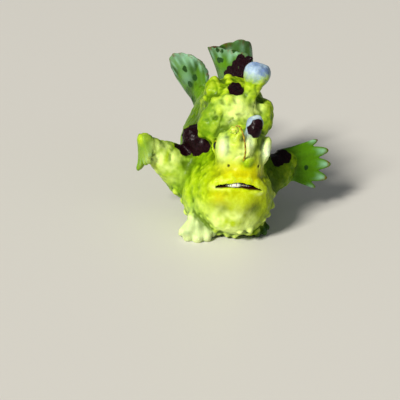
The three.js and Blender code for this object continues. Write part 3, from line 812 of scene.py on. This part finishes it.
def add(material, kind, inputs=None, **settings):
    """A node of that kind, with settings, and with a value or another node's output for each input."""
    made = material.node_tree.nodes.new(kind)
    for name, value in settings.items():
        setattr(made, name, value)
    for socket, value in (inputs or {}).items():
        if isinstance(value, bpy.types.NodeSocket):
            material.node_tree.links.new(value, made.inputs[socket])
        else:
            made.inputs[socket].default_value = value
    return made


def mask(material, *factors):
    """The product of masks that the mesh carries by name, other nodes' outputs and a plain share."""
    found = None
    for factor in reversed(factors):
        if isinstance(factor, str):
            factor = add(material, "ShaderNodeAttribute", attribute_name=factor).outputs["Fac"]
        if found is not None:
            inputs = {0: factor, 1: found}
            factor = add(material, "ShaderNodeMath", inputs, operation="MULTIPLY", use_clamp=True).outputs[0]
        found = factor
    return found


def mottle(material, size, detail=2.0, low=0.35, high=0.65):
    """Noise from 0 to 1 with lumps about size mm wide."""
    place = add(material, "ShaderNodeTexCoord").outputs["Object"]
    grain = add(material, "ShaderNodeTexNoise", {"Vector": place, "Scale": 1 / (size * MM), "Detail": detail})
    inputs = {"Value": grain.outputs["Fac"], "From Min": low, "From Max": high}
    return add(material, "ShaderNodeMapRange", inputs, interpolation_type="SMOOTHSTEP").outputs[0]


def edged(material, name, grain=0.0, fray=0.0, low=-0.15, high=0.15):
    """A mask that rises where the mesh's own value does, with its edge frayed by a grain."""
    inputs = {0: grain, 1: fray, 2: mask(material, name)}
    frayed = add(material, "ShaderNodeMath", inputs, operation="MULTIPLY_ADD").outputs[0]
    inputs = {"Value": frayed, "From Min": low + fray / 2, "From Max": high + fray / 2}
    return add(material, "ShaderNodeMapRange", inputs, interpolation_type="SMOOTHSTEP").outputs[0]


def layered(material, base, *layers):
    """A base colour with further colours laid over it, each where its masks say."""
    shade = colour(base)
    for tint, *factors in layers:
        over = colour(tint) if isinstance(tint, str) else tint
        inputs = {0: mask(material, *factors), 6: shade, 7: over}
        shade = add(material, "ShaderNodeMix", inputs, data_type="RGBA").outputs[2]
    return shade


def surfaced(material, settings):
    """The material, once its shader has these settings."""
    shader = add(material, "ShaderNodeBsdfPrincipled", settings)
    add(material, "ShaderNodeOutputMaterial", {"Surface": shader.outputs["BSDF"]})
    return material


def skin_material():
    """Scaleless skin under a film of mucus: soft light from within, a broad dim sheen and fine grain."""
    material = new_material("wet frogfish skin")
    large, small, fine = mottle(material, 3.5), mottle(material, 1.3), mottle(material, 0.5)
    broad = mottle(material, 6.0, 1.0, 0.45, 0.6)
    spotted = edged(material, "spots", small, 0.3)
    maroon = edged(material, "maroon", small, 0.25)
    white = edged(material, "white", small, 0.5, -1.3, 0.9)
    # the fins' dark green is partly their own colour, partly painted shade
    fin_skin = layered(material, "1D4014", ("4F7C12", broad, 0.8), ("8FBCA4", "blue_and_sheen", 0.75))
    saddle = layered(material, "100306", ("280D16", fine, 0.5))
    knob = layered(material, "6C84AC", ("A4BCD2", large), ("587488", small, 0.3))
    shade = layered(
        material, "8CAE02",  # yellow green of the body
        ("66920A", large, 0.5),  # broad green mottling
        ("568200", "green", 0.9),  # flanks and back turn green: partly their own colour, partly painted shade
        ("CCC600", "yellow", 0.9),  # yellow snout and jaw
        ("B8D408", "lump", 0.55),  # yellower tops of the lumps: partly their own colour, partly painted highlight
        ("DCEC58", small, "lump", 0.35),  # pale flecks on them, partly painted highlight
        ("2E4A00", "shade", 0.85),  # painted shade: darker dents of the chin, the far side of the jaw and the far flank
        ("DEF08E", "pale", 0.85),  # whitish brow and chin: partly paler skin, partly painted highlight
        (fin_skin, "fin", 0.92),  # dark green fins, partly their own colour, partly painted shade; bluish white in places, partly painted sheen
        ("6A9060", "rays", 0.15),  # paler rays
        ("4E8004", "hand", 0.9),  # yellower green palm, darkened as painted shade, and painted light on the back fin and tail tip
        ("8FC0A0", "fingertip", 0.7),  # bluish white before the ray tips
        ("DFF0AA", "foot", 0.78),  # nearly white right foot: partly its own colour, partly painted light
        ("6E2214", small, "tip", 0.9),  # reddish ray tips
        ("415C00", "crease_shade", 0.8),  # painted shade: darker green in the creases
        ("1F4014", spotted),  # dark green spots on the fins
        (knob, white),  # bluish white knob, mottled grey
        ("DCEEDC", "whitish_and_highlight", 0.8),  # whitish eye ridges and spine rim: painted highlight, with some of the spine's own white
        (saddle, maroon),  # dark maroon saddles
        ("2A2408", "pits"),  # painted shade: dark nostrils and gill pores
        ("2E120C", "mouth"),  # painted shade: reddish black inside of the mouth
    )
    rough = add(material, "ShaderNodeMapRange", {"Value": fine, "To Min": 0.3, "To Max": 0.5}).outputs[0]
    place = add(material, "ShaderNodeTexCoord").outputs["Object"]
    grains = add(material, "ShaderNodeTexVoronoi", {"Vector": place, "Scale": 1 / (GRAIN * MM)},
                 feature="SMOOTH_F1")
    wrinkles = add(material, "ShaderNodeTexNoise", {"Vector": place, "Scale": 1 / (0.9 * MM), "Detail": 4.0})
    grained = add(material, "ShaderNodeBump", {
        "Height": grains.outputs["Distance"], "Strength": 0.5, "Distance": 0.08 * MM}, invert=True)
    bump = add(material, "ShaderNodeBump", {
        "Height": wrinkles.outputs["Fac"], "Strength": 0.6, "Distance": 0.25 * MM,
        "Normal": grained.outputs["Normal"]})
    return surfaced(material, {
        "Base Color": shade, "Roughness": rough, "IOR": 1.38, "Specular IOR Level": 0.12,
        "Subsurface Weight": 0.15, "Subsurface Radius": (1.0, 0.8, 0.3), "Subsurface Scale": 1.2 * MM,
        "Coat Weight": 0.08, "Coat Roughness": 0.2, "Coat IOR": 1.33,  # the film of mucus
        "Normal": bump.outputs["Normal"]})


def eye_material():
    """A clear wet cornea over a streaked iris: deep colour under one sharp glint."""
    material = new_material("wet eye of a fish")
    streaks = edged(material, "streak", low=0.4, high=0.62)
    shade = layered(
        material, "A9B52A",  # yellow green iris
        ("5A3A16", streaks, 0.85),  # brown streaks fan out over it
        ("C9A83A", "rim"),  # a thin gold ring round the pupil
        ("050505", "pupil"),
    )
    return surfaced(material, {
        "Base Color": shade, "Roughness": 0.35, "IOR": 1.38,
        "Coat Weight": 1.0, "Coat Roughness": 0.03, "Coat IOR": 1.4})  # the cornea


def filament_material():
    """A thin fleshy rod, ochre with darker bands, moist enough for a soft line of light."""
    material = new_material("fleshy filament")
    bands = edged(material, "bands", mottle(material, 0.4), 0.4, -0.2, 0.2)
    shade = layered(material, "A8981A", ("86661A", bands))
    return surfaced(material, {
        "Base Color": shade, "Roughness": 0.4, "IOR": 1.38, "Coat Weight": 0.3, "Coat Roughness": 0.2})


def lure_material():
    """Soft translucent flesh, pale on its knobs and freckled, so that it glows a little at its edges."""
    material = new_material("translucent flesh of the lure")
    shade = layered(
        material, "9DB81C",
        ("C4D65A", mottle(material, 0.7)),  # paler tops of its knobs
        ("76861A", mottle(material, 0.3, 2.0, 0.55, 0.7)),  # small dark freckles
    )
    return surfaced(material, {
        "Base Color": shade, "Roughness": 0.35, "IOR": 1.38,
        "Subsurface Weight": 0.3, "Subsurface Scale": 1.0 * MM})


def enamel_material():
    """Smooth enamel, off-white and a little translucent, with a small glint on each tooth."""
    material = new_material("enamel of small teeth")
    shade = layered(material, "EDE8D0", ("FAF8EC", mottle(material, 0.3)))
    return surfaced(material, {
        "Base Color": shade, "Roughness": 0.25, "IOR": 1.6,
        "Subsurface Weight": 0.3, "Subsurface Scale": 0.6 * MM})


def floor_material():
    """Matt pale paper: it shows nothing but the fish's shadow."""
    return surfaced(new_material("pale floor"), {"Base Color": colour("DAD8D2"), "Roughness": 0.5})


# Eyes, lure and teeth

EYE_RINGS, EYE_SIDES = 60, 64  # how finely an eyeball is divided, front to back and round
CORNEA = 0.82  # how far from the eye's axis the cornea bulges, in radians


def make_eye(side, material):
    """An eyeball with a bulging cornea, its pupil taller than wide."""
    axis = Vector((side * EYE_AXIS[0], EYE_AXIS[1], EYE_AXIS[2])).normalized()
    across = axis.cross(Vector((0, 0, 1))).normalized()
    upright = across.cross(axis)
    centre = Vector((FACE_LEAN + side * EYE_AT[0], EYE_AT[1], EYE_AT[2]))
    rings, angles, turns = [], [], []
    for k in range(1, EYE_RINGS):
        angle = math.pi * k / EYE_RINGS
        bulge = 1 + 0.07 * max(0.0, math.cos(angle * 1.9)) ** 2 * (angle < CORNEA)
        ring = []
        for i in range(EYE_SIDES):
            turn = 2 * math.pi * i / EYE_SIDES
            outward = math.cos(turn) * across + math.sin(turn) * upright
            way = math.cos(angle) * axis + math.sin(angle) * outward
            ring.append(centre + way * EYE_RADIUS * bulge)
            angles.append(angle)
            turns.append(turn)
        rings.append(ring)
    points, faces = ringed(rings)
    name = "eye_left" if side > 0 else "eye_right"
    eye = mesh_piece(name + "_ball", points, faces, material)
    angles, turns = np.array(angles), np.array(turns)
    out = angles * np.sqrt((np.cos(turns) * 1.25) ** 2 + np.sin(turns) ** 2)
    circle = np.stack([np.cos(turns), np.sin(turns), 0.25 * angles], -1)
    give(eye, "pupil", 1 - smooth(out, 0.48, 0.54))
    give(eye, "rim", smooth(out, 0.44, 0.50) * (1 - smooth(out, 0.56, 0.62)))
    give(eye, "streak", 0.5 + 0.5 * noise(circle, 0.16, 51))
    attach(eye, "root")
    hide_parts(name)


# The filament rises from the snout, arches over and carries the lure
FILAMENT = [
    (0.9, -23.4, 24.6), (0.9, -25.6, 28.4), (0.1, -26.6, 32.4), (-1.2, -26.7, 35.8), (-2.4, -26.3, 36.6),
    (-3, -25.9, 35.2),
]
FILAMENT_SIDES = 16
KNOBS = [(0.75, -0.5, 0.2), (-0.75, -0.4, 0.1), (0.1, -0.85, -0.35), (-0.3, 0.6, 0.4), (0.4, 0.2, -0.6)]
FEELERS = [(1.3, -0.9, -0.5), (-1.3, -0.8, -0.6), (0.2, -1.5, -0.9), (-0.9, 0.3, -1.2), (0.9, 0.2, -1.2)]


def curve_through(stations, steps):
    """Points along a smooth curve through stations."""
    ends = [2 * Vector(stations[0]) - Vector(stations[1]), *map(Vector, stations),
            2 * Vector(stations[-1]) - Vector(stations[-2])]
    found = []
    for a, b, c, d in zip(ends, ends[1:], ends[2:], ends[3:]):
        for k in range(steps):
            t = k / steps
            found.append(0.5 * (2 * b + (c - a) * t + (2 * a - 5 * b + 4 * c - d) * t ** 2
                                + (3 * b - a - 3 * c + d) * t ** 3))
    return found + [Vector(stations[-1])]


def make_filament(material):
    """A rod that thins from 0.6 to 0.4 mm across, a little knotty, with bands along it."""
    path = curve_through(FILAMENT, 24)
    turns = [2 * math.pi * i / FILAMENT_SIDES for i in range(FILAMENT_SIDES)]
    rings, bands = [], []
    side = Vector((1, 0, 0))
    for k, at in enumerate(path):
        ahead = (path[min(k + 1, len(path) - 1)] - path[max(k - 1, 0)]).normalized()
        side = (side - ahead * side.dot(ahead)).normalized()
        other = ahead.cross(side)
        radius = 0.3 - 0.1 * k / len(path) + 0.02 * math.sin(k * 1.1)
        rings.append([at + radius * (math.cos(t) * side + math.sin(t) * other) for t in turns])
        bands += [0.5 * math.sin(k * 0.55)] * FILAMENT_SIDES
    points, faces = ringed(rings)
    filament = mesh_piece("filament_tube", points, faces, material)
    give(filament, "bands", bands)
    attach(filament, "root")
    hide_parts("filament")


def lure_field(p):
    """A knobbly bait with a few short feelers."""
    q = p - np.array(FILAMENT[-1], np.float32)
    d = swelling(q, (0, 0, 0), (1.35, 1.25, 1.15))
    for at in KNOBS:
        d = soft_min(d, swelling(q, at, (0.5, 0.5, 0.45)), 0.25)
    for x, y, z in FEELERS:
        d = soft_min(d, limb(q, [(0.5 * x, 0.5 * y, 0.4 * z, 0.32), (x, y, z, 0.15)]), 0.2)
    return d


def make_lure(material):
    at = np.array(FILAMENT[-1])
    points, quads = net(lure_field, at - 2.4, at + 2.4, 0.1, 2)
    points = evened(points, quads, lure_field, 2)
    lure = mesh_piece("lure_bait", points, quads, material)
    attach(lure, "root")
    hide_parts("lure")


TOOTH_STEP = 0.36  # from one tooth of a row to the next
TOOTH_ROWS = [(1, 0, 1.3), (-1, 0, 0.5), (-1, 1, 1.1)]  # upper 1 or lower -1, offset or not, how far back
MOUTH_HALF = 6.2  # teeth stand this far to either side of the middle


def make_teeth(material):
    """Rows of small pointed teeth along the lips. The lower ones show in the middle of the mouth."""
    points, faces = [], []
    for way, row, back in TOOTH_ROWS:
        for k in range(-17, 18):
            jitter = lattice(np.array([[k, row, way]]), 61)[0] - 0.5
            x = TOOTH_STEP * k + 0.18 * row + 0.12 * jitter
            if abs(x) > MOUTH_HALF:
                continue
            height, front = lip_line(x)
            height += LIP_TILT * x + way * 0.6 + 0.3 * back
            root = Vector((x, front + back, height))
            shown = math.exp(-((x + 1.4) / 1.9) ** 4) * (way < 0)
            root.y += 0.5 - 1.4 * shown
            radius = 0.16 + 0.12 * shown
            length = 0.2 + 0.2 * jitter + 1.1 * shown
            tip = root + Vector((0.05 * jitter, 0.12, -way * length))
            start = len(points)
            for t in np.arange(6) * math.pi / 3:
                points.append(root + radius * Vector((math.cos(t), math.sin(t), 0)))
            points.append(tip)
            faces += [(start + i, start + (i + 1) % 6, start + 6)[::way] for i in range(6)]
            faces.append(tuple(range(start, start + 6))[::-way])
    teeth = mesh_piece("teeth", points, faces, material)
    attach(teeth, "root")
    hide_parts("lower_jaw")


skin = make_skin(skin_material())
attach(skin, "root")
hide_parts("head", "lower_jaw", "trunk", "tail_stem", "second_dorsal_spine", "third_dorsal_spine",
            *FINS, "pectoral_arm_left", "pectoral_arm_right")
eye_look = eye_material()
make_eye(1, eye_look)
make_eye(-1, eye_look)
make_filament(filament_material())
make_lure(lure_material())
make_teeth(enamel_material())


# Floor, light and camera

FLOOR_HALF = 3000
# The camera looks down on the fish, a little from its right, and leans to one side
VIEW_TURN, VIEW_DOWN, VIEW_ROLL = math.radians(-9), math.radians(22), math.radians(5)
VIEW_AIM = (-10.90, -25.76, 13.64)  # what lies in the middle of the picture
VIEW_AWAY = 350
LENS, SENSOR = 110.25, 36


def make_floor():
    corners = [(x * FLOOR_HALF, y * FLOOR_HALF, 0) for x, y in ((-1, -1), (1, -1), (1, 1), (-1, 1))]
    floor = mesh_piece("floor", corners, [(0, 1, 2, 3)], floor_material(), False)


def sun(name, toward_light, strength, spread, tint):
    """A light from far away. The wider its spread in degrees, the softer its shadows."""
    data = bpy.data.lights.new(name, "SUN")
    data.energy, data.angle, data.color = strength, math.radians(spread), colour(tint)[:3]
    light = bpy.data.objects.new(name, data)
    bpy.context.scene.collection.objects.link(light)
    light.rotation_mode = "QUATERNION"
    light.rotation_quaternion = (-Vector(toward_light)).to_track_quat("-Z", "Y")


def set_sky(strength, tint):
    """Even light from all round."""
    world = bpy.data.worlds.new("studio")
    world.use_nodes = True
    sky = world.node_tree.nodes["Background"]
    sky.inputs["Color"].default_value = colour(tint)
    sky.inputs["Strength"].default_value = strength
    bpy.context.scene.world = world


def set_camera():
    forward = Vector((-math.sin(VIEW_TURN) * math.cos(VIEW_DOWN), math.cos(VIEW_TURN) * math.cos(VIEW_DOWN),
                      -math.sin(VIEW_DOWN)))
    level = Vector((math.cos(VIEW_TURN), math.sin(VIEW_TURN), 0))
    upright = level.cross(forward)
    right = math.cos(VIEW_ROLL) * level + math.sin(VIEW_ROLL) * upright
    up = -math.sin(VIEW_ROLL) * level + math.cos(VIEW_ROLL) * upright
    data = bpy.data.cameras.new("camera")
    data.lens, data.sensor_width = LENS, SENSOR
    data.clip_start, data.clip_end = 0.01, 20
    camera = bpy.data.objects.new("camera", data)
    bpy.context.scene.collection.objects.link(camera)
    axes = Matrix((right, up, -forward)).transposed().to_4x4()
    camera.matrix_world = Matrix.Translation(Vector(VIEW_AIM) * MM - forward * VIEW_AWAY * MM) @ axes
    bpy.context.scene.camera = camera


make_floor()
sun("key light", toward_light=(-0.62, -0.66, 0.62), strength=4.65, spread=13, tint="FFFBF2")
sun("fill light", toward_light=(0.7, -0.7, 0.5), strength=0.12, spread=40, tint="EAF2FF")
set_sky(strength=0.18, tint="EEF1F4")
bpy.context.scene.view_settings.view_transform = "Standard"
set_camera()
